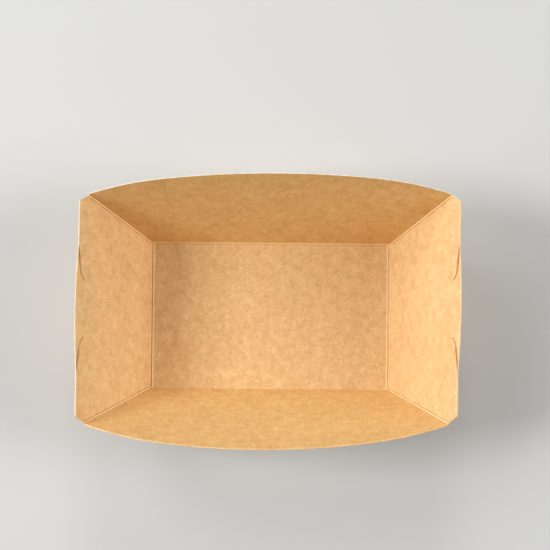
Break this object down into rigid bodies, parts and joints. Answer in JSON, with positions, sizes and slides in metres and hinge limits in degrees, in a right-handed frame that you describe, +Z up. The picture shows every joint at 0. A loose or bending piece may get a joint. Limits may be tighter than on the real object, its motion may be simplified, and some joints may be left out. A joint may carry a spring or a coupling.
{
  "type": "cardboard tray box",
  "caption": "Open folded board tray with a flat rectangular base, flared walls, arched long rims and locked folded corners.",
  "frame": {"origin": "middle of the underside of the base", "axes": "+X along the long walls, +Y across to the far long wall, +Z up out of the open top"},
  "size_m": [0.164, 0.117, 0.062],
  "materials": {
    "kraft_board": "uncoated brown kraft board with fine fibres, matt"
  },
  "bodies": {
    "root": {"folded_tray": "kraft_board"}
  },
  "joints": []
}
